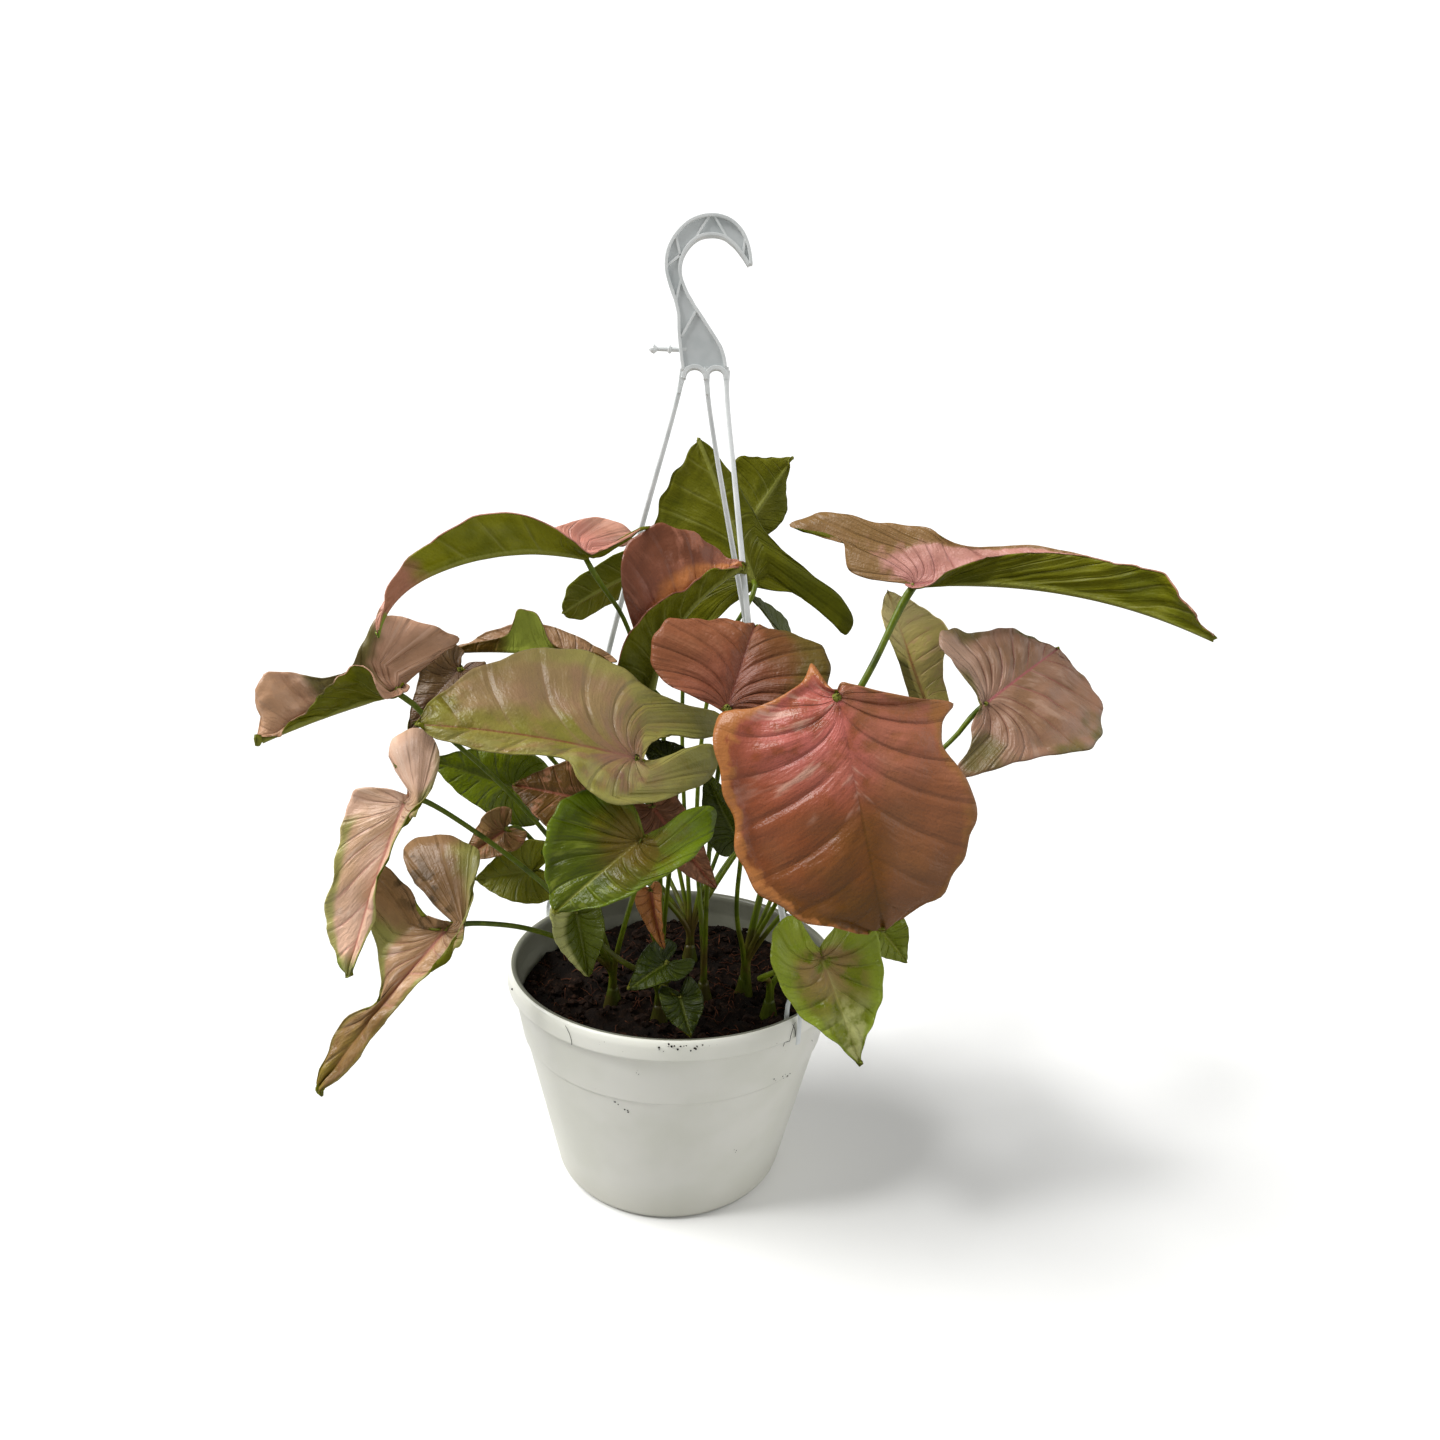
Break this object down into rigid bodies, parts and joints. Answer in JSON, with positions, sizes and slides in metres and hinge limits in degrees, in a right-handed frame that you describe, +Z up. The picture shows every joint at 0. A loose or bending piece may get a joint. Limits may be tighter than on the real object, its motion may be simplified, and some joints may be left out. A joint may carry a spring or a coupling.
{
  "type": "potted arrowhead plant",
  "caption": "Arrowhead plant with pink, copper and green arrow-shaped leaves on long stalks, growing from soil in a round white hanging pot with a plastic hook hanger.",
  "frame": {"origin": "centre of the pot's flat base, on the surface that it stands on", "axes": "+Z up along the pot's axis; -Y towards the viewer of the picture; +X to the viewer's right"},
  "size_m": [0.4446, 0.2781, 0.5364],
  "materials": {
    "pot_plastic": "satin moulded white plastic with faint turning lines and specks of soil",
    "potting_soil": null,
    "hanger_plastic": "slightly glossy moulded grey-white plastic",
    "leaf_stalk": null,
    "leaf_rose": null,
    "leaf_copper": null,
    "leaf_pale": null,
    "leaf_green": null,
    "leaf_dark": null,
    "leaf_pink": null
  },
  "bodies": {
    "root": {"pot": "pot_plastic", "soil": "potting_soil", "hanger": "hanger_plastic", "stalk_1": "leaf_stalk", "stalk_2": "leaf_stalk", "stalk_3": "leaf_stalk", "stalk_4": "leaf_stalk", "stalk_5": "leaf_stalk", "stalk_6": "leaf_stalk", "stalk_7": "leaf_stalk", "leaf_01": "leaf_rose", "leaf_02": "leaf_copper", "leaf_03": "leaf_pale", "leaf_04": "leaf_green", "leaf_05": "leaf_green", "leaf_06": "leaf_copper", "leaf_07": "leaf_dark", "leaf_08": "leaf_dark", "leaf_09": "leaf_green", "leaf_10": "leaf_green", "leaf_11": "leaf_pink", "leaf_12": "leaf_pale", "leaf_13": "leaf_pink", "leaf_14": "leaf_dark", "leaf_15": "leaf_green", "leaf_16": "leaf_copper", "leaf_17": "leaf_pink", "leaf_18": "leaf_pink", "leaf_19": "leaf_copper", "leaf_20": "leaf_pink", "leaf_21": "leaf_pink", "leaf_22": "leaf_dark", "leaf_23": "leaf_copper", "leaf_24": "leaf_copper", "leaf_25": "leaf_dark", "leaf_26": "leaf_dark", "leaf_27": "leaf_dark", "leaf_28": "leaf_pink", "leaf_29": "leaf_green", "leaf_30": "leaf_pale", "leaf_31": "leaf_dark", "leaf_32": "leaf_copper", "leaf_33": "leaf_copper", "leaf_34": "leaf_dark", "leaf_35": "leaf_copper", "leaf_36": "leaf_dark"}
  },
  "joints": []
}
